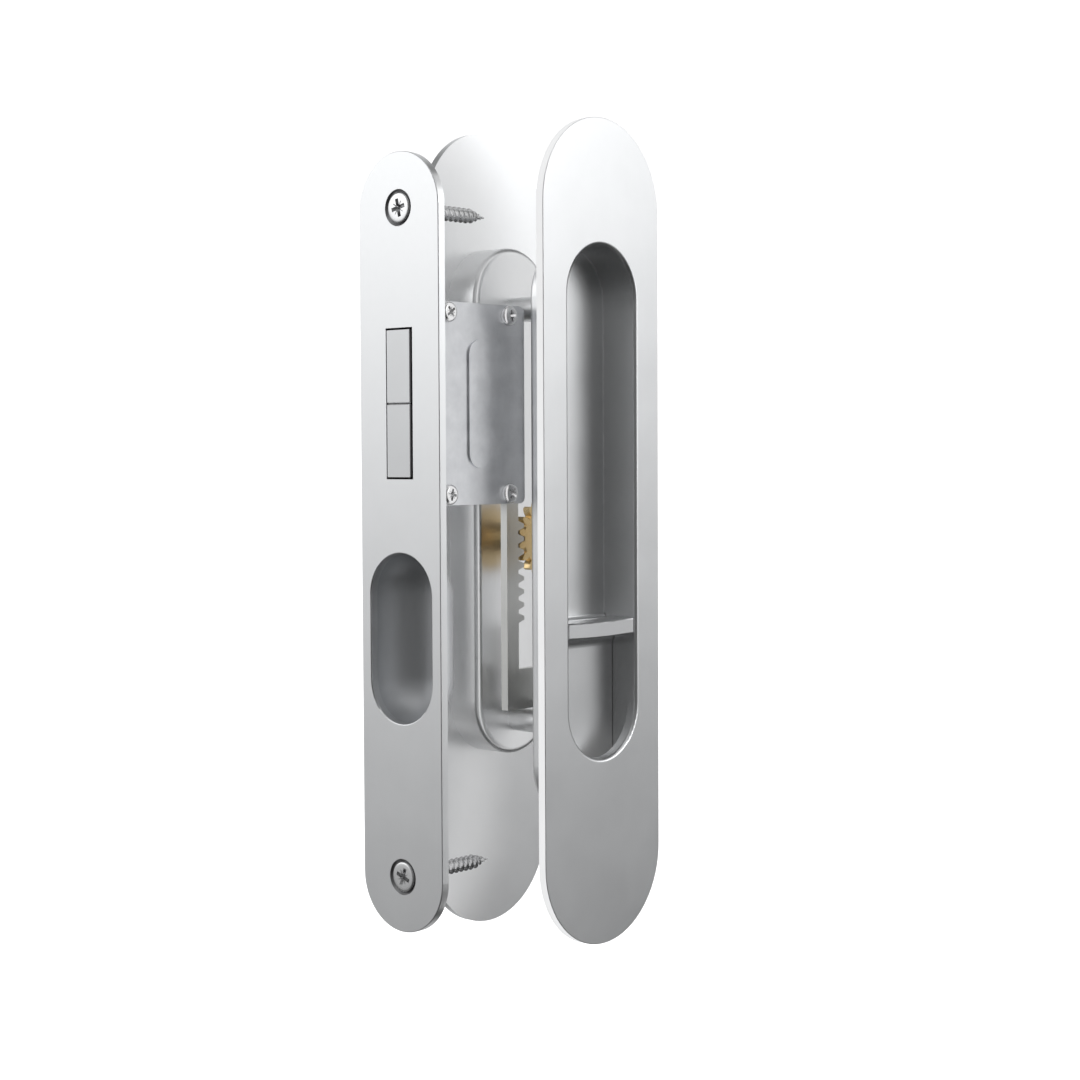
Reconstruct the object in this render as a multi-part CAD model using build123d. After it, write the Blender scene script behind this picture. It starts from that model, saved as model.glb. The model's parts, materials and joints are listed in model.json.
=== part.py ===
from build123d import *
import math
import os

os.makedirs("parts", exist_ok=True)

# Privacy lock for a sliding pocket panel: an edge plate with a twin hook bolt
# and a finger pull, and a pair of flush pulls, the inner one with a sliding snib.
# Millimetres. X runs into the panel from its leading edge, Y through its
# thickness, Z is up. x = 0 is the seat of the faceplate, z = 0 its centre.

# ---------------------------------------------------------------- dimensions
panel_t = 35.0          # panel thickness between the two flush pull seats
y_seat = panel_t / 2

plate_w = 25.0          # faceplate width
plate_h = 175.0         # faceplate height
plate_t = 2.0           # faceplate thickness
screw_pitch = 150.0     # distance between the two edge screws
shank_r = 1.75          # outer radius of the thread
head_r = 3.45
head_x = -1.45          # rim of the head, a little below the front of the plate
head_dome = 0.3         # height of the domed top of the head
sink_front_r = 4.12     # countersink at the front of the plate

slot_zc = 31.5          # centre of the bolt slot
slot_h = 33.8
slot_w = 8.4

grip_zc = -21.2         # finger pull in the edge
grip_h = 38.3
grip_w = 19.3
grip_step = 0.3         # cup set back behind the lip of the plate
cup_t = 0.8

pull_xc = 45.33         # flush pull centre line
pull_w = 41.6
pull_h = 194.0
pull_zc = 1.4
flange_t = 2.1
rec_w = 24.36           # recess opening
rec_z0, rec_z1 = -51.73, 68.83
mouth_r = 0.8           # rounded mouth of the recess
rec_d = 10.1            # recess depth from the face of the flange
wall_t = 1.2
rec_fillet = 0.3
lip_t = 2.7             # thickness of the lower lip that the snib slider runs under
pocket_z0 = -65.3       # lower end of the pocket behind that lip
edge_r = 0.2            # broken outer edges of the plate and the flanges

snib_travel = 12.56
carriage_ratio = 0.955  # carriage travel per snib travel
hook_rad_per_mm = 0.0416
carriage_travel = carriage_ratio * snib_travel
hook_angle = hook_rad_per_mm * snib_travel

pivot_x = 19.0          # hook pivots at rest
pivot_dz = 5.0          # above and below the slot's centre
hook_pin_r = 2.0
hook_y0, hook_y1 = -3.42, 4.1
cam_pin_x = 11.0        # fixed cam pins
cam_pin_dz = 10.1
cam_pin_r = 1.5

case_x1 = 31.0
case_wall = 1.2
case_y0, case_y1 = -6.6, 6.6
case_floor = 1.4
cover_t = 1.2
case_in_dz = 18.0       # half height of the inside
case_dz = 22.8          # half height of the outside
stud_dz = 26.2

gear_m = 1.0
gear_z = 16
gear_r = gear_m * gear_z / 2
gear_backlash = 0.1
gear_add = 0.85
gear_ded = 1.15

face_y = -(y_seat + flange_t)       # face of the inner flange
floor_y = face_y + rec_d            # inner recess floor
back_y = floor_y + wall_t           # back of the inner recess


# ------------------------------------------------------------------- helpers
def box(x0, x1, y0, y1, z0, z1):
    return Pos((x0 + x1) / 2, (y0 + y1) / 2, (z0 + z1) / 2) * Box(x1 - x0, y1 - y0, z1 - z0)


def cyl_x(r, x0, x1, y, z):
    return Pos((x0 + x1) / 2, y, z) * Rot(0, 90, 0) * Cylinder(r, x1 - x0)


def cyl_y(r, y0, y1, x, z):
    return Pos(x, (y0 + y1) / 2, z) * Rot(90, 0, 0) * Cylinder(r, y1 - y0)


def slot_y(w, z0, z1, y0, y1, x):
    """Obround with a vertical long axis, extruded along Y."""
    p = Plane(origin=(x, y0, (z0 + z1) / 2), x_dir=(0, 0, 1), z_dir=(0, 1, 0))
    return extrude(p * SlotOverall(z1 - z0, w), amount=y1 - y0)


def slot_x(w, z0, z1, x0, x1, y=0.0):
    """Obround with a vertical long axis, extruded along X."""
    p = Plane(origin=(x0, y, (z0 + z1) / 2), x_dir=(0, 0, 1), z_dir=(1, 0, 0))
    return extrude(p * SlotOverall(z1 - z0, w), amount=x1 - x0)


def prism_y(points, y0, y1):
    """Polygon in X and Z, extruded along Y."""
    wire = Polyline(*[(x, y0, z) for x, z in points], close=True)
    return extrude(make_face(wire), amount=y1 - y0, dir=(0, 1, 0))


def edges_at(shape, axis, value):
    pos = {Axis.X: "X", Axis.Y: "Y", Axis.Z: "Z"}[axis]
    return [e for e in shape.edges() if abs(getattr(e.bounding_box().min, pos) - value) < 1e-4
            and abs(getattr(e.bounding_box().max, pos) - value) < 1e-4]


def mirror_y(shape):
    return mirror(shape, about=Plane.XZ)


def mirror_slot(shape):
    """Mirror about the horizontal plane through the middle of the bolt slot."""
    return mirror(shape, about=Plane(origin=(0, 0, slot_zc), z_dir=(0, 0, 1)))


def write(name, *shapes):
    solids = []
    for s in shapes:
        solids += list(s.solids())
    shape = solids[0] if len(solids) == 1 else Compound(solids)
    shape.label = name
    export_step(shape, "parts/" + name + ".step")


# ----------------------------------------------------------------- faceplate
plate = slot_x(plate_w, -plate_h / 2, plate_h / 2, -plate_t, 0)
plate = fillet(edges_at(plate, Axis.X, -plate_t), edge_r)
plate -= box(-plate_t - 1, 1, -slot_w / 2, slot_w / 2, slot_zc - slot_h / 2, slot_zc + slot_h / 2)
plate -= slot_x(grip_w, grip_zc - grip_h / 2, grip_zc + grip_h / 2, -plate_t - 1, 1)
grip_mouth = [e for e in edges_at(plate, Axis.X, -plate_t)
              if e.bounding_box().max.Z < grip_zc + grip_h / 2 + 0.1
              and e.bounding_box().min.Z > grip_zc - grip_h / 2 - 0.1
              and abs(e.center().Y) < grip_w / 2 + 0.1]
plate = fillet(grip_mouth, 0.3)
for z in (-screw_pitch / 2, screw_pitch / 2):
    plate -= Pos(-plate_t / 2, 0, z) * Rot(0, 90, 0) * Cone(sink_front_r, sink_front_r - plate_t, plate_t)
for z in (slot_zc - stud_dz, slot_zc + stud_dz):
    plate += cyl_x(1.5, -0.4, 5.2, 0, z)
write("faceplate", plate)

# ----------------------------------------------------- countersunk edge screws
def edge_screw(z, turn):
    cone_h = head_r - shank_r
    head = Pos(head_x + cone_h / 2, 0, 0) * Rot(0, 90, 0) * Cone(head_r, shank_r, cone_h)
    big = (head_r ** 2 + head_dome ** 2) / (2 * head_dome)
    dome = Pos(head_x - head_dome + big, 0, 0) * Sphere(big)
    dome &= cyl_x(head_r, head_x - 1, head_x + 0.05, 0, 0)
    shank = cyl_x(shank_r, head_x + cone_h - 0.2, 21.0, 0, 0)
    tip = Pos(23.5, 0, 0) * Rot(0, 90, 0) * Cone(shank_r, 0.25, 5.0)
    s = head + dome + shank + tip
    for a in (0, 90):
        s -= Rot(a + turn, 0, 0) * box(-2.5, -0.65, -1.9, 1.9, -0.38, 0.38)
    return Pos(0, 0, z) * s


write("faceplate_screws", edge_screw(screw_pitch / 2, 12), edge_screw(-screw_pitch / 2, 38))

# ------------------------------------------------------------- edge pull cup
cup_w = grip_w + 2 * grip_step
cup_z0 = grip_zc - grip_h / 2 - grip_step
cup_z1 = grip_zc + grip_h / 2 + grip_step
cup_depth = 9.0
cup_out = slot_x(cup_w + 2 * cup_t, cup_z0 - cup_t, cup_z1 + cup_t, -1.5, cup_depth + cup_t)
cup_out = fillet(edges_at(cup_out, Axis.X, cup_depth + cup_t), cup_w / 2 + cup_t - 0.5)
cup_in = slot_x(cup_w, cup_z0, cup_z1, -1, cup_depth)
cup_in = fillet(edges_at(cup_in, Axis.X, cup_depth), cup_w / 2 - 0.5)
cup_out -= box(-3, 0, -20, 20, -80, 40)
cup = cup_out + slot_x(cup_w + 2.8, cup_z0 - 1.4, cup_z1 + 1.4, 0, cup_t)
cup -= cup_in
write("edge_pull_cup", cup)

# ------------------------------------------------------------- lock case
zc = slot_zc
case = box(0, case_x1, case_y0, case_y1, zc - case_dz, zc + case_dz)
case -= box(-1, case_x1 - case_wall, case_y0 - 1, case_y1 - case_floor,
            zc - case_in_dz, zc + case_in_dz)
# slot in the rear wall for the lug of the cam slide
lug_z0, lug_z1 = 24.0, 32.0
case -= box(case_x1 - case_wall - 1, case_x1 + 1, -1.2, 1.2, lug_z0 - 0.4, lug_z1 + snib_travel + 0.4)
# relief pockets in the thick top and bottom bands
for s in (-1, 1):
    a, b = sorted((zc + s * (case_in_dz + 1.2), zc + s * (case_dz - 1.2)))
    case -= box(10.0, 21.0, case_y0 - 1, case_y1 - case_floor, a, b)
boss_z = case_in_dz + (case_dz - case_in_dz) / 2
cover_screw_at = [(x, zc + s * boss_z) for x in (5.5, 25.5) for s in (-1, 1)]
for x, z in cover_screw_at:
    case -= cyl_y(1.27, case_y0 - 1, case_y0 + 7.0, x, z)
# ears that take the studs of the faceplate
ears = box(0, 1.8, case_y0, case_y1, zc - case_dz - 6.4, zc + case_dz + 6.4)
ears -= box(-1, 3, case_y0 - 1, case_y1 - case_floor, zc - case_in_dz, zc + case_in_dz)
ears = fillet([e for e in ears.edges().filter_by(Axis.X)
               if abs(abs(e.center().Z - zc) - case_dz - 6.4) < 0.1], 3.0)
case += ears
for s in (-1, 1):
    case -= cyl_x(1.6, -1, 3, 0, zc + s * stud_dz)
# guide slots for the hook pins and seats for the fixed cam pins
for s in (-1, 1):
    zp = zc + s * pivot_dz
    g = box(pivot_x - carriage_travel, pivot_x, 4, 8, zp - 2.08, zp + 2.08)
    g += cyl_y(2.08, 4, 8, pivot_x, zp) + cyl_y(2.08, 4, 8, pivot_x - carriage_travel, zp)
    case -= g
    case -= cyl_y(cam_pin_r, 4, 8, cam_pin_x, zc + s * cam_pin_dz)
write("lock_case", case)

# ------------------------------------------------------------- case cover
cover = box(0, case_x1, case_y0 - cover_t, case_y0, zc - case_dz, zc + case_dz)
cover = fillet(cover.edges().filter_by(Axis.Y), 1.5)
for x, z in cover_screw_at:
    cover -= cyl_y(1.35, case_y0 - cover_t - 1, case_y0 + 1, x, z)
# an embossed rib stiffens the cover
cover += slot_y(7.0, zc - 14.5, zc + 14.5, case_y0 - cover_t - 0.5, case_y0 - cover_t, 15.5)
write("case_cover", cover)


def pan_screw_y(r, head, head_h, y_seat_, length, x, z, sign, drive=0.5):
    """Pan head screw along Y; sign is the way that its tip points."""
    y1 = y_seat_ + sign * length
    s = cyl_y(r, min(y_seat_, y1), max(y_seat_, y1), x, z)
    yh = y_seat_ - sign * head_h
    h = cyl_y(head, min(y_seat_, yh), max(y_seat_, yh), x, z)
    h = fillet(edges_at(h, Axis.Y, yh), head_h * 0.45)
    for w, l in ((drive, head * 0.62), (head * 0.62, drive)):
        h -= box(x - l, x + l, min(yh - 1, yh + sign * head_h * 0.55), max(yh + 1, yh + sign * head_h * 0.55),
                 z - w, z + w) if sign < 0 else box(
            x - l, x + l, yh - 1, yh + head_h * 0.55, z - w, z + w)
    return s + h


write("cover_screws", *[pan_screw_y(1.25, 2.3, 1.3, case_y0 - cover_t, 7.0, x, z, 1, 0.35)
                        for x, z in cover_screw_at])


def hex_nut_x(x0, x1, z):
    p = Plane(origin=(x0, 0, z), x_dir=(0, 0, 1), z_dir=(1, 0, 0))
    n = extrude(p * RegularPolygon(2.75, 6, major_radius=False), amount=x1 - x0)
    n &= Pos((x0 + x1) / 2, 0, z) * Rot(0, 90, 0) * (Cylinder(3.05, x1 - x0))
    return n - cyl_x(1.52, x0 - 1, x1 + 1, 0, z)


write("case_nuts", *[hex_nut_x(1.8, 4.2, zc + s * stud_dz) for s in (-1, 1)])

# ------------------------------------------- fixed pins that turn the hooks
cam_pins = []
for s in (-1, 1):
    p = cyl_y(cam_pin_r, hook_y0, case_y1, cam_pin_x, zc + s * cam_pin_dz)
    cam_pins.append(chamfer(edges_at(p, Axis.Y, hook_y0), 0.3))
write("hook_cam_pins", *cam_pins)

# --------------------------------------------------------------------- hooks
hook_outline = [(-21, -4.92), (-21, 11.62), (-18.4, 7.0), (-17.2, 5.9), (-15.5, 5.4), (-13.5, 5.5),
                (-12, 6.2), (-9, 8.1), (-6.5, 9.4), (2.0, 9.5), (3.6, 8.6), (4.4, 7.0), (4.5, 0),
                (4.1, -1.9), (3.2, -3.15), (1.9, -4.05), (0, -4.5), (-4, -4.85)]
pz = zc + pivot_dz
hook = prism_y([(pivot_x + x, pz + z) for x, z in hook_outline], hook_y0, hook_y1)
hook -= cyl_y(hook_pin_r + 0.06, hook_y0 - 1, hook_y1 + 1, pivot_x, pz)


def cam_path(n, half):
    """Path of the fixed pin in the hook's own frame, and its two offset sides."""
    pts, left, right = [], [], []
    for i in range(n + 1):
        t = snib_travel * (i / n)
        a = hook_rad_per_mm * t
        dx = cam_pin_x - (pivot_x - carriage_ratio * t)
        dz = zc + cam_pin_dz - pz
        pts.append((math.cos(a) * dx - math.sin(a) * dz, math.sin(a) * dx + math.cos(a) * dz))
    for i, (x, z) in enumerate(pts):
        x0, z0 = pts[max(i - 1, 0)]
        x1, z1 = pts[min(i + 1, n)]
        d = math.hypot(x1 - x0, z1 - z0)
        nx, nz = -(z1 - z0) / d, (x1 - x0) / d
        left.append((x + nx * half, z + nz * half))
        right.append((x - nx * half, z - nz * half))
    return pts, left, right


half = cam_pin_r + 0.07
pts, left, right = cam_path(16, half)
y_a = hook_y0 - 1


def world(p):
    return (pivot_x + p[0], y_a, pz + p[1])


side_a = Polyline(*[world(p) for p in left])
side_b = Polyline(*[world(p) for p in right])
end_0 = Line(world(right[0]), world(left[0]))
end_1 = Line(world(left[-1]), world(right[-1]))
channel = extrude(make_face([side_a, end_1, side_b, end_0]), amount=hook_y1 - hook_y0 + 2, dir=(0, 1, 0))
hook -= channel
for p in (pts[0], pts[-1]):
    hook -= cyl_y(half, hook_y0 - 1, hook_y1 + 1, pivot_x + p[0], pz + p[1])
nose_edges = [e for e in hook.edges() if abs(e.center().X - (pivot_x - 21)) < 0.01]
hook = chamfer(nose_edges, 0.2)
write("upper_hook", hook)
write("lower_hook", mirror_slot(hook))

# ------------------------------------------------------------------ carriage
car_dz = 8.2
car = box(12.5, 28.0, -4.7, 5.0, zc - car_dz, zc + car_dz)
car -= box(12.0, 26.8, hook_y0 - 0.15, hook_y1 + 0.15, zc - car_dz - 1, zc + car_dz + 1)
for s in (-1, 1):
    car -= cyl_y(hook_pin_r + 0.01, -6, 6, pivot_x, zc + s * pivot_dz)
drive_pin_x, drive_pin_r = 25.2, 1.5
car -= cyl_y(drive_pin_r + 0.01, -6, 6, drive_pin_x, zc)
car = fillet([e for e in car.edges().filter_by(Axis.Y)
              if e.center().X < 12.6], 2.0)
write("carriage", car)
write("hook_pins", *[cyl_y(hook_pin_r, -4.7, 6.5, pivot_x, zc + s * pivot_dz) for s in (-1, 1)])
write("carriage_pin", cyl_y(drive_pin_r, -6.35, 5.0, drive_pin_x, zc))

# ----------------------------------------------------------------- cam slide
cs_y0, cs_y1 = -6.4, -4.9
x_end, z_end = drive_pin_x - carriage_travel, zc - snib_travel
slide = prism_y([(x_end - 3.0, z_end - 3.0), (x_end + 3.2, z_end - 3.0), (26.2, 27.0), (26.2, z_end - 3.0),
                 (29.4, z_end - 3.0), (29.4, zc + 3.0), (20.5, zc + 3.0), (x_end - 3.0, z_end + 2.2)],
                cs_y0, cs_y1)
r_cs = drive_pin_r + 0.06
ux, uz = carriage_ratio, 1.0
d = math.hypot(ux, uz)
nx, nz = -uz / d * r_cs, ux / d * r_cs
slide -= prism_y([(drive_pin_x + nx, zc + nz), (x_end + nx, z_end + nz),
                  (x_end - nx, z_end - nz), (drive_pin_x - nx, zc - nz)], cs_y0 - 1, cs_y1 + 1)
slide -= cyl_y(r_cs, cs_y0 - 1, cs_y1 + 1, drive_pin_x, zc)
slide -= cyl_y(r_cs, cs_y0 - 1, cs_y1 + 1, x_end, z_end)
slide += box(28.4, 29.4, cs_y0, 1.0, lug_z0, lug_z1)
slide += box(28.4, 32.9, -1.0, 1.0, lug_z0, lug_z1)
write("cam_slide", slide)

# --------------------------------------------------------------- drive plate
gx = pull_xc                      # centre of the release
gz = 0.0
pitch_x = gx - gear_r             # pitch line of the rack
root_x = pitch_x - gear_ded
arm_z0, arm_z1 = -40.6, -31.0
notch = 0.05
outline = [(31.4, 19.0), (31.4, lug_z0 - notch), (32.95, lug_z0 - notch), (32.95, lug_z1 + notch),
           (31.4, lug_z1 + notch), (31.4, 37.0), (38.0, 37.0), (38.0, 19.0), (root_x, 16.0)]
tan20 = math.tan(math.radians(20))
p_half = math.pi * gear_m / 4 - gear_backlash / 2
rack = []
for k in range(1, -7, -1):
    z = k * math.pi * gear_m
    rack += [(root_x, z + p_half + gear_ded * tan20), (pitch_x + gear_add, z + p_half - gear_add * tan20),
             (pitch_x + gear_add, z - p_half + gear_add * tan20), (root_x, z - p_half - gear_ded * tan20)]
tail_x = 48.6
bump_z = -25.0
outline += rack
outline += [(root_x, arm_z1), (46.0, arm_z1), (46.0, -22.2), (tail_x, -22.2)]
for z in (bump_z, bump_z - snib_travel):
    outline += [(tail_x, z + 0.85), (tail_x - 0.6, z + 0.25), (tail_x - 0.6, z - 0.25), (tail_x, z - 0.85)]
outline += [(tail_x, arm_z0), (32.2, arm_z0), (32.2, 16.0)]
drive = prism_y(outline, -1.0, 1.0)
stem_z0, stem_z1 = -39.0, -32.2
snib_screw_z = (-37.6, -33.6)
for z in snib_screw_z:
    drive -= cyl_y(1.1, -2, 2, pull_xc, z)
write("drive_plate", drive)

# ---------------------------------------------------------------- inner pull
def pull_body(low):
    """Flange and recess cup of a flush pull as one casting, inner side. The recess reaches down to low."""
    x, z0, z1 = pull_xc, pull_zc - pull_h / 2, pull_zc + pull_h / 2
    flange = slot_y(pull_w, z0, z1, face_y, -y_seat, x)
    flange = fillet(edges_at(flange, Axis.Y, face_y), edge_r)
    g = wall_t
    shell = slot_y(rec_w + 2 * g, low - g, rec_z1 + g, -y_seat - 0.5, back_y, x)
    shell = fillet(edges_at(shell, Axis.Y, back_y), 1.5)
    body = flange + shell
    if low < rec_z0:
        hollow = slot_y(rec_w, low, rec_z1, face_y + lip_t, floor_y, x)
        body -= slot_y(rec_w, rec_z0, rec_z1, face_y - 1, face_y + lip_t + 0.5, x)
    else:
        hollow = slot_y(rec_w, rec_z0, rec_z1, face_y - 1, floor_y, x)
    body -= fillet(edges_at(hollow, Axis.Y, floor_y), rec_fillet)
    mouth = [e for e in edges_at(body, Axis.Y, face_y) if e.bounding_box().size.X < rec_w + 1
             and abs(e.center().X - x) < rec_w / 2 + 0.2 and rec_z0 - 0.2 < e.center().Z < rec_z1 + 0.2]
    return fillet(mouth, mouth_r)


stem_x0, stem_x1 = pull_xc - 2.7, pull_xc + 2.7
guide_z0, guide_z1 = stem_z0 - 0.3, stem_z1 + snib_travel + 0.3
bolt_z = (-44.4, 55.0)
inner = pull_body(pocket_z0)
for z in bolt_z:
    inner += cyl_y(3.0, back_y - 0.4, -back_y, pull_xc, z)
    inner -= cyl_y(1.5, -4.0, -back_y + 1, pull_xc, z)
guide = box(stem_x0 - 0.3, stem_x1 + 0.3, floor_y - 1, back_y + 0.3, guide_z0, guide_z1)
inner -= guide
rivet_x, rivet_z = 51.3, -41.2
inner -= cyl_y(0.8, back_y - 0.8, back_y + 1, rivet_x, rivet_z)
write("inner_pull", inner)

# --------------------------------------------------------------- snib slider
pan_y = face_y + 7.4                # floor under the tab, which runs on behind the lower lip
snib_back = floor_y - 0.12
snib_hw = rec_w / 2 - 0.13
snib_top, snib_low = -19.25, -22.95
over_r, under_r = 0.8, 3.0          # hollows above and below the tab
form = slot_y(2 * snib_hw, pocket_z0 + 0.4, rec_z1 - 0.13, face_y + 2.0, snib_back, pull_xc)
form = fillet(edges_at(form, Axis.Y, snib_back), rec_fillet + 0.2)
x0, x1 = pull_xc - 20, pull_xc + 20
body = box(x0, x1, pan_y, snib_back, -80, snib_low + 0.1)
body += box(x0, x1, pan_y - 0.1, snib_back, snib_low, snib_top)
y_top = snib_back - 0.25 - over_r
over = box(x0, x1, y_top, snib_back, snib_top - 0.1, snib_top + over_r)
over -= Pos(pull_xc, y_top, snib_top + over_r) * Rot(0, 90, 0) * Cylinder(over_r, 60)
y_low = pan_y - under_r
under = box(x0, x1, y_low, pan_y + 0.1, snib_low - under_r, snib_low + 0.1)
under -= Pos(pull_xc, y_low, snib_low - under_r) * Rot(0, 90, 0) * Cylinder(under_r, 60)
body = (body + over + under) & form
# the thumb tab: flat in front, its long edges dished a little
tab_hw = rec_w / 2 - 0.25
tab_y = face_y + 0.45
sag = 0.12
outline = [ThreePointArc((pull_xc - tab_hw, tab_y, snib_top + sag), (pull_xc, tab_y, snib_top - sag),
                         (pull_xc + tab_hw, tab_y, snib_top + sag)),
           Line((pull_xc + tab_hw, tab_y, snib_top + sag), (pull_xc + tab_hw, tab_y, snib_low + sag)),
           ThreePointArc((pull_xc + tab_hw, tab_y, snib_low + sag), (pull_xc, tab_y, snib_low - sag),
                         (pull_xc - tab_hw, tab_y, snib_low + sag)),
           Line((pull_xc - tab_hw, tab_y, snib_low + sag), (pull_xc - tab_hw, tab_y, snib_top + sag))]
tab = extrude(make_face(outline), amount=pan_y + 0.4 - tab_y, dir=(0, 1, 0))
body += tab
body = fillet(edges_at(body, Axis.Y, tab_y), 0.3)
body += box(stem_x0, stem_x1, floor_y - 0.6, -1.0, stem_z0, stem_z1)
for z in snib_screw_z:
    body -= cyl_y(1.02, -4.6, 0, pull_xc, z)
write("snib_slider", body)
write("snib_screws", *[pan_screw_y(1.0, 1.9, 1.2, 1.0, 5.2, pull_xc, z, -1, 0.3) for z in snib_screw_z])

# ------------------------------------------------------------- detent spring
leaf_x = 49.2
leaf_t = 0.35
foot = box(leaf_x, 53.0, back_y, back_y + leaf_t, -43.2, -39.6)
leaf = box(leaf_x, leaf_x + leaf_t, back_y, 0.9, -43.2, -39.6)
leaf += box(leaf_x, leaf_x + leaf_t, -0.9, 0.9, -43.2, -22.4)
vee = prism_y([(leaf_x + leaf_t, bump_z + 1.6), (leaf_x, bump_z + 1.2), (tail_x - 0.45, bump_z + 0.2),
               (tail_x - 0.45, bump_z - 0.2), (leaf_x, bump_z - 1.2), (leaf_x + leaf_t, bump_z - 1.6),
               (leaf_x + leaf_t, bump_z - 1.0), (tail_x + 0.05, bump_z), (leaf_x + leaf_t, bump_z + 1.0)],
              -0.9, 0.9)
leaf -= box(leaf_x - 1, leaf_x + 1, -2, 2, bump_z - 0.9, bump_z + 0.9)
spring = foot + leaf + vee
spring -= cyl_y(0.82, back_y - 1, back_y + 1, rivet_x, rivet_z)
write("detent_spring", spring)
rivet = cyl_y(0.78, back_y - 0.8, back_y + leaf_t, rivet_x, rivet_z)
rivet_head = cyl_y(1.5, back_y + leaf_t, back_y + leaf_t + 0.7, rivet_x, rivet_z)
rivet_head = fillet(edges_at(rivet_head, Axis.Y, back_y + leaf_t + 0.7), 0.5)
write("spring_rivet", rivet + rivet_head)

# ---------------------------------------------------------------- outer pull
outer = mirror_y(pull_body(rec_z0))
for z in bolt_z:
    outer -= cyl_y(1.65, -back_y - 1, -floor_y + 1, pull_xc, z)
outer -= cyl_y(3.05, -back_y - 1, -floor_y + 1, gx, gz)
write("outer_pull", outer)
write("pull_bolts", *[pan_screw_y(1.48, 2.7, 1.7, -floor_y, 12.0, pull_xc, z, -1, 0.4) for z in bolt_z])

# ---------------------------------------------------------- emergency release
spindle = cyl_y(6.5, -floor_y + 0.05, -floor_y + 2.6, gx, gz)
spindle = fillet(edges_at(spindle, Axis.Y, -floor_y + 2.6), 0.8)
spindle -= box(gx - 0.8, gx + 0.8, -floor_y + 1.2, -floor_y + 4, gz - 5.0, gz + 5.0)
spindle += cyl_y(3.0, -back_y - 0.02, -floor_y + 0.1, gx, gz)
neck = cyl_y(2.2, -2.1, -back_y, gx, gz)
neck -= box(gx + 1.5, gx + 4, -2.2, -back_y - 0.02, gz - 4, gz + 4)
neck -= cyl_y(4.0, -1.55, -1.0, gx, gz) - cyl_y(1.6, -1.55, -1.0, gx, gz)
write("release_turn", spindle + neck)


def inv(r, base):
    a = math.acos(base / r)
    return math.tan(a) - a


base_r = gear_r * math.cos(math.radians(20))
tip_r, foot_r = gear_r + gear_add, gear_r - gear_ded
half_pitch = (math.pi * gear_m / 2 - gear_backlash) / (2 * gear_r)
steps = [base_r + (tip_r - base_r) * i / 6 for i in range(7)]
profile = []
for k in range(gear_z):
    c = math.radians(180 + 360 / gear_z * (k + 0.5))
    off = [half_pitch + inv(gear_r, base_r) - inv(r, base_r) for r in steps]
    profile.append((c - off[0] - 0.006, foot_r))
    profile += [(c - o, r) for o, r in zip(off, steps)]
    profile += [(c + o, r) for o, r in reversed(list(zip(off, steps)))]
    profile.append((c + off[0] + 0.006, foot_r))
pinion = prism_y([(gx + r * math.cos(a), gz + r * math.sin(a)) for a, r in profile], -1.0, 1.0)
pinion += cyl_y(4.0, 0.9, -back_y - 0.05, gx, gz)
bore = cyl_y(2.22, -2, -back_y + 1, gx, gz) - box(gx + 1.52, gx + 4, -3, -back_y + 2, gz - 4, gz + 4)
pinion -= bore
write("release_pinion", pinion)

clip = cyl_y(3.6, -1.5, -1.02, gx, gz) - cyl_y(1.65, -2, 0, gx, gz)
clip -= box(gx - 5, gx, -2, 0, gz - 1.5, gz + 1.5)
write("release_clip", clip)

print("carriage travel", round(carriage_travel, 4), "hook angle", round(math.degrees(hook_angle), 3),
      "release angle", round(math.degrees(snib_travel / gear_r), 3))
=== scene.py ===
import json
import math

import bmesh
import bpy
from mathutils import Matrix, Vector


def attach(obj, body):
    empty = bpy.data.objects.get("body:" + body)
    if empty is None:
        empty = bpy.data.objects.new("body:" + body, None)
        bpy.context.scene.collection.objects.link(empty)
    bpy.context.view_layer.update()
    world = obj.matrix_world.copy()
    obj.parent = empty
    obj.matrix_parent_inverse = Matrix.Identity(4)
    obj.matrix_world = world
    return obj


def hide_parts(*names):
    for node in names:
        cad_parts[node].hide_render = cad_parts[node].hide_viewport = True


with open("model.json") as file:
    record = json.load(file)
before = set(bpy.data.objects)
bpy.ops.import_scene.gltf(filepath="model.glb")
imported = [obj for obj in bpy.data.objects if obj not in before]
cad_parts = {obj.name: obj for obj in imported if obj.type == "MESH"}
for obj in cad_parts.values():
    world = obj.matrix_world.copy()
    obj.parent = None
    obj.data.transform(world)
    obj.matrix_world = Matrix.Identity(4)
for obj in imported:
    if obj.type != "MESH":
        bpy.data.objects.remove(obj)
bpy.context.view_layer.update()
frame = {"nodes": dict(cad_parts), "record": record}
nodes = frame["nodes"]
scene = bpy.context.scene
MM = 0.001

# ------------------------------------------------------------------ the camera
# Fitted to the outlines of the two plates: 68.2 mm lens on a square frame, no shift.
F = Vector((0.74702597, 0.66350651, -0.04136794))
R = Vector((0.66392508, -0.74778486, -0.00461322))
U = Vector((0.03399522, 0.02401901, 0.99913333))
cam_data = bpy.data.cameras.new("camera")
cam_data.sensor_fit = "HORIZONTAL"
cam_data.sensor_width = 36.0
cam_data.lens = 2045.2 / 1080 * 36.0
cam_data.clip_start, cam_data.clip_end = 0.01, 50
turn = Matrix.Rotation(math.radians(0.05), 3, U)
F, R = turn @ F, turn @ R
cam = bpy.data.objects.new("camera", cam_data)
scene.collection.objects.link(cam)
cam.matrix_world = Matrix((
    (R.x, U.x, -F.x, -322.93 * MM),
    (R.y, U.y, -F.y, -327.40 * MM),
    (R.z, U.z, -F.z, 19.82 * MM),
    (0, 0, 0, 1)))
scene.camera = cam


# ------------------------------------------------------------------- materials
def new_material(name):
    m = bpy.data.materials.new(name)
    m.use_nodes = True
    nt = m.node_tree
    nt.nodes.clear()
    out = nt.nodes.new("ShaderNodeOutputMaterial")
    bsdf = nt.nodes.new("ShaderNodeBsdfPrincipled")
    nt.links.new(bsdf.outputs["BSDF"], out.inputs["Surface"])
    return m, nt, bsdf


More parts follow.
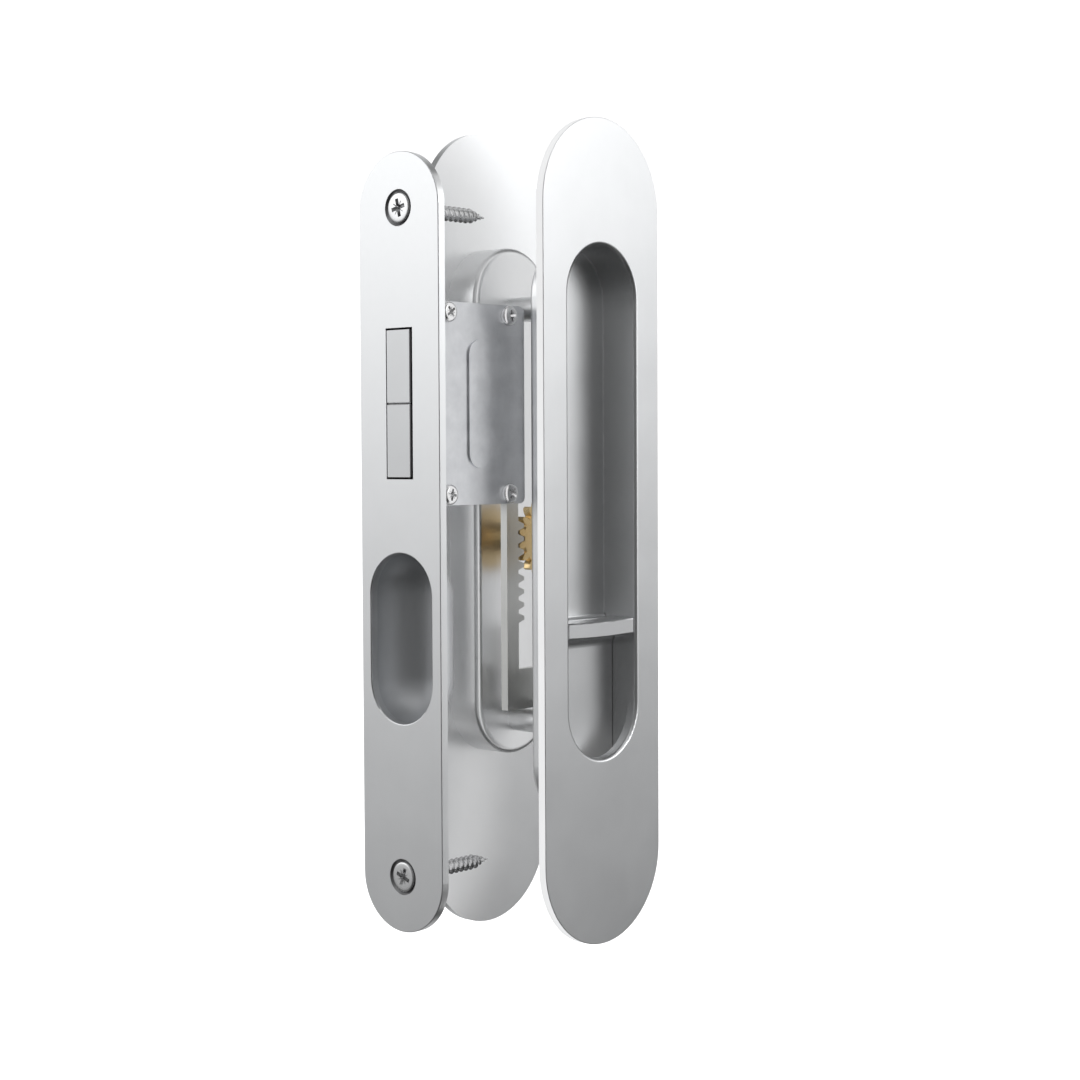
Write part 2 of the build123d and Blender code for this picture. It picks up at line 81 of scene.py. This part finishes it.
def noise(nt, scale, stretch=(1, 1, 1), detail=2.0, rough=0.5):
    """Noise in the object's own coordinates; scale in features per metre."""
    tc = nt.nodes.new("ShaderNodeTexCoord")
    mp = nt.nodes.new("ShaderNodeMapping")
    mp.inputs["Scale"].default_value = stretch
    nt.links.new(tc.outputs["Object"], mp.inputs["Vector"])
    n = nt.nodes.new("ShaderNodeTexNoise")
    n.inputs["Scale"].default_value = scale
    n.inputs["Detail"].default_value = detail
    n.inputs["Roughness"].default_value = rough
    nt.links.new(mp.outputs["Vector"], n.inputs["Vector"])
    return n.outputs["Fac"]


def ramp(nt, fac, lo, hi, a, b):
    """Maps fac from lo..hi to a..b."""
    r = nt.nodes.new("ShaderNodeMapRange")
    r.inputs["From Min"].default_value = lo
    r.inputs["From Max"].default_value = hi
    r.inputs["To Min"].default_value = a
    r.inputs["To Max"].default_value = b
    nt.links.new(fac, r.inputs["Value"])
    return r.outputs["Result"]


def tint(nt, fac, dark, light):
    mix = nt.nodes.new("ShaderNodeMix")
    mix.data_type = "RGBA"
    mix.inputs[6].default_value = (*dark, 1)
    mix.inputs[7].default_value = (*light, 1)
    nt.links.new(fac, mix.inputs[0])
    return mix.outputs[2]


def bump(nt, height, strength, distance, below=None):
    b = nt.nodes.new("ShaderNodeBump")
    b.inputs["Strength"].default_value = strength
    b.inputs["Distance"].default_value = distance
    nt.links.new(height, b.inputs["Height"])
    if below is not None:
        nt.links.new(below, b.inputs["Normal"])
    return b.outputs["Normal"]


def satin(name, dark, light, roughness, spread, grain=(1, 1, 1), grain_scale=9000.0, depth=0.000004,
          mottle=70.0):
    """Satin metal: a fine grain that changes height and gloss, and a faint cloudy change of tone."""
    m, nt, bsdf = new_material(name)
    bsdf.inputs["Metallic"].default_value = 1.0
    fine = noise(nt, grain_scale, grain, 3.0, 0.6)
    cloud = noise(nt, mottle, (1, 1, 1), 3.0, 0.55)
    nt.links.new(tint(nt, ramp(nt, cloud, 0.3, 0.7, 0, 1), dark, light), bsdf.inputs["Base Color"])
    both = nt.nodes.new("ShaderNodeMath")
    both.operation = "MULTIPLY_ADD"
    nt.links.new(ramp(nt, fine, 0.25, 0.75, -spread, spread), both.inputs[0])
    both.inputs[1].default_value = 1.0
    nt.links.new(ramp(nt, cloud, 0.3, 0.7, roughness - spread * 0.4, roughness + spread * 0.4), both.inputs[2])
    nt.links.new(both.outputs[0], bsdf.inputs["Roughness"])
    nt.links.new(bump(nt, fine, 0.5, depth), bsdf.inputs["Normal"])
    return m


plate_metal = satin("satin_plate", (0.80, 0.805, 0.81), (0.84, 0.845, 0.85), 0.33, 0.03, (1, 1, 0.06))


def paint_sink_shade(m):
    """Painted shade in the countersinks of the edge plate: the base colour is darkened there to stand in for the shade
    in the gap round the screw heads.
    """
    nt = m.node_tree
    bsdf = next(n for n in nt.nodes if n.type == "BSDF_PRINCIPLED")
    tc = nt.nodes.new("ShaderNodeTexCoord")
    sep = nt.nodes.new("ShaderNodeSeparateXYZ")
    nt.links.new(tc.outputs["Object"], sep.inputs[0])

    def calc(op, *values):
        n = nt.nodes.new("ShaderNodeMath")
        n.operation = op
        for i, v in enumerate(values):
            if isinstance(v, (int, float)):
                n.inputs[i].default_value = v
            else:
                nt.links.new(v, n.inputs[i])
        return n.outputs[0]

    # painted shade: a mask for the inside of each countersink, below the plate's face
    dz = calc("SUBTRACT", calc("ABSOLUTE", sep.outputs["Z"]), 0.075)
    r = calc("SQRT", calc("ADD", calc("MULTIPLY", sep.outputs["Y"], sep.outputs["Y"]), calc("MULTIPLY", dz, dz)))
    near = ramp(nt, r, 0.00405, 0.00420, 1.0, 0.0)
    deep = ramp(nt, sep.outputs["X"], -0.00200, -0.00192, 0.0, 1.0)
    sink_shade_mask = calc("MULTIPLY", near, deep)
    mix = nt.nodes.new("ShaderNodeMix")
    mix.data_type = "RGBA"
    nt.links.new(sink_shade_mask, mix.inputs[0])
    nt.links.new(bsdf.inputs["Base Color"].links[0].from_socket, mix.inputs[6])
    # dark colour of the painted shade in the countersinks
    mix.inputs[7].default_value = (0.34, 0.34, 0.345, 1)
    nt.links.new(mix.outputs[2], bsdf.inputs["Base Color"])


# paints shade into the plate's countersinks
paint_sink_shade(plate_metal)
pull_metal = satin("satin_pull", (0.80, 0.805, 0.81), (0.84, 0.845, 0.85), 0.33, 0.03, (1, 1, 0.06))
cup_metal = satin("satin_cup", (0.70, 0.71, 0.725), (0.74, 0.75, 0.765), 0.50, 0.04)
snib_metal = satin("satin_snib", (0.74, 0.745, 0.75), (0.78, 0.785, 0.79), 0.34, 0.03)
screw_metal = satin("screw_steel", (0.72, 0.72, 0.73), (0.80, 0.80, 0.80), 0.24, 0.05)
bolt_metal = satin("bolt_steel", (0.70, 0.70, 0.71), (0.76, 0.76, 0.765), 0.30, 0.04)
case_metal = satin("zinc_case", (0.60, 0.61, 0.63), (0.72, 0.73, 0.75), 0.42, 0.08, mottle=220.0)
sheet_metal = satin("plated_sheet", (0.66, 0.66, 0.64), (0.75, 0.75, 0.73), 0.36, 0.06)
spring_metal = satin("spring_steel", (0.30, 0.31, 0.34), (0.38, 0.39, 0.42), 0.30, 0.05)
brass = satin("pinion_brass", (0.78, 0.58, 0.30), (0.86, 0.66, 0.36), 0.28, 0.05)

by_slot = {"satin_plate": plate_metal, "satin_pull": pull_metal, "satin_cup": cup_metal, "satin_snib": snib_metal,
           "screw_steel": screw_metal, "bolt_steel": bolt_metal, "zinc_case": case_metal,
           "plated_sheet": sheet_metal, "spring_steel": spring_metal, "pinion_brass": brass}
slot_of = {s["node"]: s["material_slot"] for s in frame["record"]["subparts"]}
hook_metal = satin("hook_steel", (0.64, 0.645, 0.65), (0.68, 0.685, 0.69), 0.33, 0.03, (1, 1, 0.06))
for name, obj in nodes.items():
    obj.data.materials.clear()
    obj.data.materials.append(hook_metal if name in ("upper_hook", "lower_hook") else by_slot[slot_of[name]])


# ---------------------------------------------------------------------- screws
AROUND = 36


def ring(bm, x, r, turn=0.0):
    return [bm.verts.new((x, r * math.cos(2 * math.pi * k / AROUND + turn), r * math.sin(2 * math.pi * k / AROUND + turn)))
            for k in range(AROUND)]


def skin(bm, a, b):
    for k in range(AROUND):
        bm.faces.new((a[k], b[k], b[(k + 1) % AROUND], a[(k + 1) % AROUND]))


def screw_mesh(name, head, core, crest, pitch, start, end, tip):
    """A screw along +X in millimetres: head is its outline from the middle of the top to the shank as (x, r),
    then a plain neck to start, a helical thread to end and a tip of that length."""
    bm = bmesh.new()
    top = bm.verts.new((head[0][0], 0, 0))
    rings = [ring(bm, x, r) for x, r in head[1:]]
    for k in range(AROUND):
        bm.faces.new((top, rings[0][k], rings[0][(k + 1) % AROUND]))
    for a, b in zip(rings, rings[1:]):
        skin(bm, a, b)
    neck = ring(bm, start, core)
    skin(bm, rings[-1], neck)
    # the thread: a strip that winds round, its outline sampled at the foot, flanks and crest
    outline = [(0.0, 0.0), (0.28, 0.0), (0.47, 0.94), (0.50, 1.0), (0.53, 0.94), (0.72, 0.0)]
    x_end = end + tip
    turns = int((x_end - start) / pitch) + 2

    def point(step, part):
        share, rise = outline[part]
        x = start - pitch + pitch * (step / AROUND + share)
        fade = max(0.0, min(1.0, (x - start) / (1.2 * pitch)))
        body = core
        if x > end:
            t = min(1.0, (x - end) / tip)
            body = core * (1 - t) + 0.12 * t
            fade *= max(0.0, 1 - t)
        r = body + (crest - core) * rise * fade
        x = min(max(x, start), x_end)
        a = 2 * math.pi * step / AROUND
        return x, r * math.cos(a), r * math.sin(a)

    steps = turns * AROUND
    grid = [[bm.verts.new(point(i, m)) for m in range(len(outline))] for i in range(steps + 1)]
    for i in range(steps):
        a, b = grid[i], grid[i + 1]
        for m in range(len(outline) - 1):
            bm.faces.new((a[m], a[m + 1], b[m + 1], b[m]))
        if i + AROUND + 1 <= steps:
            bm.faces.new((a[-1], grid[i + AROUND][0], grid[i + AROUND + 1][0], b[-1]))
    bmesh.ops.remove_doubles(bm, verts=bm.verts[:], dist=1e-5)
    bmesh.ops.dissolve_degenerate(bm, edges=bm.edges[:], dist=1e-5)
    bmesh.ops.delete(bm, geom=[v for v in bm.verts if not v.link_faces], context="VERTS")
    bmesh.ops.holes_fill(bm, edges=[e for e in bm.edges if len(e.link_faces) == 1])
    bmesh.ops.recalc_face_normals(bm, faces=bm.faces[:])
    me = bpy.data.meshes.new(name)
    bm.to_mesh(me)
    bm.free()
    return me


def recess_cutter(x_top, depth, span, wing, turn):
    """Cross recess with tapered wings narrowing to a small flat bottom, and four fine marks between the wings."""
    bm = bmesh.new()

    def prism(low, high):
        """A closed body from outline low (at the bottom) to outline high, each as (x, [(y, z), ...])."""
        a = [bm.verts.new((low[0], y, z)) for y, z in low[1]]
        b = [bm.verts.new((high[0], y, z)) for y, z in high[1]]
        n = len(a)
        bm.faces.new(a)
        bm.faces.new(list(reversed(b)))
        for k in range(n):
            bm.faces.new((a[k], b[k], b[(k + 1) % n], a[(k + 1) % n]))

    def cross(s, w):
        h, g = s / 2, w / 2
        pts = [(g, h), (g, g), (h, g), (h, -g), (g, -g), (g, -h), (-g, -h), (-g, -g), (-h, -g), (-h, g), (-g, g), (-g, h)]
        c, d = math.cos(turn), math.sin(turn)
        return [(y * c - z * d, y * d + z * c) for y, z in pts]

    def bar(s, w, a):
        c, d = math.cos(turn + a), math.sin(turn + a)
        pts = [(s / 2, w / 2), (s / 2, -w / 2), (-s / 2, -w / 2), (-s / 2, w / 2)]
        return [(y * c - z * d, y * d + z * c) for y, z in pts]

    over = 0.6
    prism((x_top + depth, cross(span * 0.42, wing * 0.62)), (x_top - over, cross(span * (1 + 0.58 * over / depth), wing * 1.1)))
    bmesh.ops.recalc_face_normals(bm, faces=bm.faces[:])
    me = bpy.data.meshes.new("cutter")
    bm.to_mesh(me)
    bm.free()
    cut = [bpy.data.objects.new("cutter", me)]
    for a in (math.pi / 4, -math.pi / 4):
        bm = bmesh.new()
        prism((x_top + depth * 0.32, bar(span * 0.66, 0.16, a)), (x_top - over, bar(span * 1.02, 0.24, a)))
        bmesh.ops.recalc_face_normals(bm, faces=bm.faces[:])
        me = bpy.data.meshes.new("cutter")
        bm.to_mesh(me)
        bm.free()
        cut.append(bpy.data.objects.new("cutter", me))
    return cut


def finish_smooth(me, angle=32.0):
    """Smooth faces with creases kept sharp."""
    me.shade_smooth()
    me.set_sharp_from_angle(angle=math.radians(angle))


def build_screw(name, places, head, core, crest, pitch, start, end, tip, recess, material, body, node):
    """One piece of identical screws. places are (matrix, turn of the recess)."""
    joined = bmesh.new()
    for matrix, turn in places:
        ob = bpy.data.objects.new(name, screw_mesh(name, head, core, crest, pitch, start, end, tip))
        scene.collection.objects.link(ob)
        cutters = recess_cutter(*recess, math.radians(turn))
        for c in cutters:
            scene.collection.objects.link(c)
            mod = ob.modifiers.new("cut", "BOOLEAN")
            mod.operation = "DIFFERENCE"
            mod.solver = "EXACT"
            mod.object = c
        bpy.context.view_layer.update()
        dg = bpy.context.evaluated_depsgraph_get()
        me = bpy.data.meshes.new_from_object(ob.evaluated_get(dg))
        me.transform(Matrix.Diagonal((MM, MM, MM, 1)))
        me.transform(matrix)
        joined.from_mesh(me)
        for o in [ob] + cutters:
            bpy.data.objects.remove(o)
    me = bpy.data.meshes.new(name)
    joined.to_mesh(me)
    joined.free()
    finish_smooth(me)
    me.materials.append(material)
    ob = bpy.data.objects.new(name, me)
    scene.collection.objects.link(ob)
    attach(ob, body)
    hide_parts(node)
    return ob


def arc(cx, cr, r, a0, a1, n):
    return [(cx + r * math.cos(math.radians(a0 + (a1 - a0) * i / n)), cr + r * math.sin(math.radians(a0 + (a1 - a0) * i / n)))
            for i in range(n + 1)]


def along(x, y, z, direction):
    """Matrix that stands a screw with its tip along direction (+X, +Y or -Y) and its seat at that point, in mm."""
    turns = {"+x": Matrix.Identity(4), "+y": Matrix.Rotation(math.radians(90), 4, "Z"),
             "-y": Matrix.Rotation(math.radians(-90), 4, "Z")}
    return Matrix.Translation((x * MM, y * MM, z * MM)) @ turns[direction]


# countersunk wood screws of the edge plate: a flat top flush with the plate, a short land and a 90 degree flank
land = [(-1.97, 0.0), (-1.97, 0.8), (-1.97, 1.6), (-1.968, 2.3), (-1.955, 2.8), (-1.93, 3.1), (-1.88, 3.26), (-1.80, 3.34), (-1.7, 3.35)]
flank = land + [(-1.15, 3.35), (-1.10, 3.31), (0.36, 1.85), (0.6, 1.62), (0.85, 1.45), (1.15, 1.32)]
build_screw("edge_screws", [(along(0, 0, 75, "+x"), -13), (along(0, 0, -75, "+x"), 20)], flank, 1.15, 1.74, 1.6, 5.0, 21.0, 4.9,
            (-1.97, 1.7, 4.1, 0.95), screw_metal, "root", "faceplate_screws")


def pan(r, h):
    """Outline of a pan head whose seat is at 0."""
    k = h * 0.62
    return ([(-h, 0.0), (-h, r * 0.35), (-h, r - k)] + arc(-h + k, r - k, k, 180, 90, 6)[1:] +
            [(-0.12, r), (-0.03, r - 0.05), (0.0, r - 0.12)])


def machine_screw(name, node, body, places, shank, head_r, head_h, length, pitch, span, wing):
    outline = pan(head_r, head_h) + [(0.0, shank * 0.98), (0.3, shank * 0.84)]
    build_screw(name, places, outline, shank * 0.82, shank * 0.99, pitch, 0.8, length - 0.45, 0.44,
                (-head_h, head_h * 0.75, span, wing), screw_metal, body, node)


machine_screw("case_cover_screws", "cover_screws", "root",
              [(along(x, -7.8, 31.5 + s * 20.4, "+y"), t) for x, s, t in ((5.5, -1, 10), (5.5, 1, 55), (25.5, -1, 32), (25.5, 1, -8))],
              1.25, 2.3, 1.3, 7.0, 0.45, 2.7, 0.62)
machine_screw("snib_stem_screws", "snib_screws", "snib",
              [(along(45.33, 1.0, z, "-y"), t) for z, t in ((-37.6, 5), (-33.6, 40))],
              1.0, 1.9, 1.2, 5.2, 0.4, 2.2, 0.5)
machine_screw("pull_bolt_screws", "pull_bolts", "root",
              [(along(45.33, 9.5, z, "-y"), t) for z, t in ((-44.4, 25), (55.0, -12))],
              1.48, 2.7, 1.7, 12.0, 0.5, 3.2, 0.8)


# ------------------------------------------------------------- floor and light
def make_sweep():
    """A pale floor that curves up all round."""
    bm = bmesh.new()
    z0, r0, bend, top = -0.34, 1.3, 0.7, 1.6
    profile = [(0.0, z0), (r0 * 0.5, z0)]
    for i in range(13):
        a = math.radians(90 * i / 12)
        profile.append((r0 + bend * math.sin(a), z0 + bend * (1 - math.cos(a))))
    profile.append((r0 + bend, top))
    n = 96
    rings = []
    for r, z in profile[1:]:
        rings.append([bm.verts.new((r * math.cos(2 * math.pi * k / n), r * math.sin(2 * math.pi * k / n), z))
                      for k in range(n)])
    centre = bm.verts.new((0, 0, z0))
    for k in range(n):
        bm.faces.new((centre, rings[0][k], rings[0][(k + 1) % n]))
        for a, b in zip(rings, rings[1:]):
            bm.faces.new((a[k], b[k], b[(k + 1) % n], a[(k + 1) % n]))
    me = bpy.data.meshes.new("floor")
    bm.to_mesh(me)
    bm.free()
    for p in me.polygons:
        p.use_smooth = True
    ob = bpy.data.objects.new("floor", me)
    scene.collection.objects.link(ob)
    m, nt, bsdf = new_material("floor_paint")
    bsdf.inputs["Roughness"].default_value = 0.9
    bsdf.inputs["Specular IOR Level"].default_value = 0.0
    cloud = noise(nt, 6.0)
    nt.links.new(tint(nt, cloud, (0.93, 0.93, 0.93), (0.95, 0.95, 0.95)), bsdf.inputs["Base Color"])
    bsdf.inputs["Emission Color"].default_value = (1.0, 1.0, 1.0, 1.0)
    bsdf.inputs["Emission Strength"].default_value = 0.95
    me.materials.append(m)
    ob.visible_glossy = False
    ob.visible_diffuse = False
    ob.visible_shadow = False
    return ob


make_sweep()


def reflected(bm, name, strength):
    """Glowing card that only shows in reflections."""
    me = bpy.data.meshes.new(name)
    bm.to_mesh(me)
    bm.free()
    ob = bpy.data.objects.new(name, me)
    scene.collection.objects.link(ob)
    m, nt, bsdf = new_material(name + "_paint")
    bsdf.inputs["Base Color"].default_value = (0, 0, 0, 1)
    bsdf.inputs["Specular IOR Level"].default_value = 0.0
    bsdf.inputs["Emission Color"].default_value = (1.0, 1.0, 1.0, 1.0)
    bsdf.inputs["Emission Strength"].default_value = strength
    me.materials.append(m)
    ob.visible_camera = False
    ob.visible_diffuse = False
    ob.visible_shadow = False


def rim_card():
    """White card round the flush pull, in line with the back of its flange, seen only in reflections."""
    bm = bmesh.new()
    y, n = -17.3, 64
    rings = []
    for grow in (0.15, 16.0):
        r = 20.8 + grow
        pts = []
        for k in range(n):
            a = 2 * math.pi * (k + 0.5) / n
            zc = 1.4 + math.copysign(97.0 - 20.8, math.sin(a))
            pts.append(bm.verts.new(((45.33 + r * math.cos(a)) * MM, y * MM, (zc + r * math.sin(a)) * MM)))
        rings.append(pts)
    for k in range(n):
        bm.faces.new((rings[0][k], rings[1][k], rings[1][(k + 1) % n], rings[0][(k + 1) % n]))
    reflected(bm, "rim_card", 1.05)


def lip_card():
    """Soft fill on the back of the recess's lower lip, seen only in reflections."""
    bm = bmesh.new()
    n, r, y = 32, 12.1, -16.8
    rows = []
    for zc in (-39.6, -53.0):
        arc = [math.pi * (1 + k / n) for k in range(n + 1)]
        rows.append([bm.verts.new(((45.33 + r * math.cos(a)) * MM, y * MM, (zc + r * math.sin(a)) * MM)) for a in arc])
    for k in range(n):
        bm.faces.new((rows[0][k], rows[0][k + 1], rows[1][k + 1], rows[1][k]))
    reflected(bm, "lip_card", 0.20)


rim_card()
lip_card()

world = bpy.data.worlds.new("studio")
scene.world = world
world.use_nodes = True
wt = world.node_tree
wt.nodes.clear()
w_out = wt.nodes.new("ShaderNodeOutputWorld")
w_bg = wt.nodes.new("ShaderNodeBackground")
wt.links.new(w_bg.outputs[0], w_out.inputs[0])
tc = wt.nodes.new("ShaderNodeTexCoord")


def w_math(op, a, b=None, c=None):
    n = wt.nodes.new("ShaderNodeMath")
    n.operation = op
    for i, v in enumerate((a, b, c)):
        if v is None:
            continue
        if isinstance(v, (int, float)):
            n.inputs[i].default_value = v
        else:
            wt.links.new(v, n.inputs[i])
    return n.outputs[0]


def w_dot(direction):
    n = wt.nodes.new("ShaderNodeVectorMath")
    n.operation = "DOT_PRODUCT"
    wt.links.new(tc.outputs["Generated"], n.inputs[0])
    n.inputs[1].default_value = direction
    return n.outputs["Value"]


def w_map(value, lo, hi, a, b, smooth=False):
    n = wt.nodes.new("ShaderNodeMapRange")
    n.interpolation_type = "SMOOTHSTEP" if smooth else "LINEAR"
    wt.links.new(value, n.inputs["Value"])
    for key, v in (("From Min", lo), ("From Max", hi), ("To Min", a), ("To Max", b)):
        n.inputs[key].default_value = v
    return n.outputs["Result"]


# Light by direction. Height: dim below the horizon, bright above it. Bearing: the
# camera's side is unlit, two broad soft lights stand left and right of it, and
# they fade towards the back. A third soft light hangs high above the camera's side, and a
# fourth fills in from behind.
up = w_dot((0, 0, 1))
flat = w_math("SQRT", w_math("MAXIMUM", w_math("SUBTRACT", 1.0, w_math("MULTIPLY", up, up)), 0.02))
ahead = w_math("DIVIDE", w_dot((-0.747, -0.664, 0.0)), flat)
bearing = w_math("MULTIPLY", w_math("ARCCOSINE", w_math("MINIMUM", w_math("MAXIMUM", ahead, -1.0), 1.0)), 57.2958)
lateral = w_math("DIVIDE", w_dot((0.664, -0.747, 0.0)), flat)
right = w_map(lateral, -0.5, 0.5, 0.0, 1.0, True)


def blend(a, b):
    """a on the left, b on the right."""
    return w_math("ADD", a, w_math("MULTIPLY", right, w_math("SUBTRACT", b, a)))


height = w_math("MINIMUM", w_math("MAXIMUM", up, -0.5), 0.2)
left_glow = w_math("MULTIPLY", w_math("EXPONENT", w_math("MULTIPLY", height, 3.6)), 1.08)
right_glow = w_math("MULTIPLY", w_math("EXPONENT", w_math("MULTIPLY", height, 4.6)), 0.68)
capped = w_math("MINIMUM", w_math("MAXIMUM", bearing, 60.0), 125.0)
left_fade = w_math("EXPONENT", w_math("MULTIPLY", w_math("SUBTRACT", capped, 83.0), -0.024))
right_fade = w_math("EXPONENT", w_math("MULTIPLY", w_math("SUBTRACT", capped, 97.0), -0.055))
soft_top = w_map(up, 0.32, 0.62, 1.0, 0.22, True)
lit = w_math("MULTIPLY", w_math("MULTIPLY", blend(left_glow, right_glow), blend(left_fade, right_fade)), soft_top)
lit = w_math("ADD", lit, w_map(bearing, 132.0, 165.0, 0.0, 0.5, True))
side = w_map(bearing, 58.0, 88.0, 0.0, 1.0, True)
overhead = w_map(up, 0.55, 0.75, 0.0, 0.40, True)
dark = w_math("ADD", w_math("MULTIPLY", w_math("EXPONENT", w_math("MULTIPLY", height, 2.0)), 0.13), overhead)
strength = w_math("ADD", dark, w_math("MULTIPLY", side, w_math("SUBTRACT", lit, dark)))
wt.links.new(strength, w_bg.inputs["Strength"])
w_bg.inputs["Color"].default_value = (0.985, 0.993, 1.0, 1)

scene.view_settings.view_transform = "Standard"
scene.view_settings.look = "None"

# ------------------------------------------------------------------------ done
bpy.context.view_layer.update()
